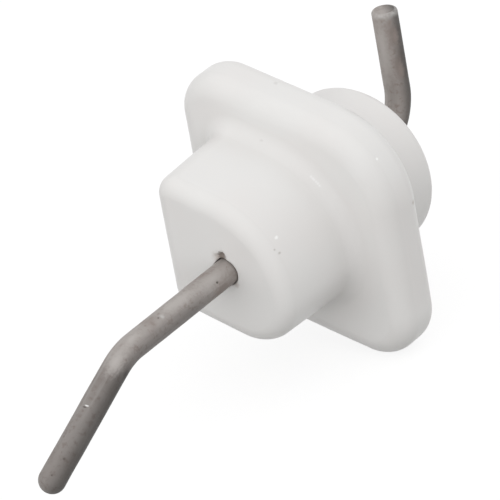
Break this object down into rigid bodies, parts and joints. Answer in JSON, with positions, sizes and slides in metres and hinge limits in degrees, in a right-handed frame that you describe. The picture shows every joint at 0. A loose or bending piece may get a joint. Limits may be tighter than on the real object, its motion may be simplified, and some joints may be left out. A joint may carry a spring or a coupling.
{
  "type": "ignition electrode",
  "caption": "Bent rod electrode potted in a white glazed ceramic insulator with a diamond flange, a keyed front boss and a round rear collar.",
  "frame": {"origin": "on the rod's axis, in the plane of the flange's front face, which seats on the burner door", "axes": "+Y along the rod's straight run towards the terminal side, -Y towards the hot tip, +Z along the terminal leg, +X to the right seen from the front"},
  "size_m": [0.0272, 0.0705, 0.032],
  "materials": {
    "glazed_ceramic": "white, smooth satin glaze with soft rounded edges",
    "oxidised_wire": "dull brown-grey oxidised heating-conductor wire, faintly mottled",
    "white_cement": "matt off-white refractory cement"
  },
  "bodies": {
    "root": {"ceramic_insulator": "glazed_ceramic", "electrode_rod": "oxidised_wire", "potting_cement": "white_cement"}
  },
  "joints": []
}
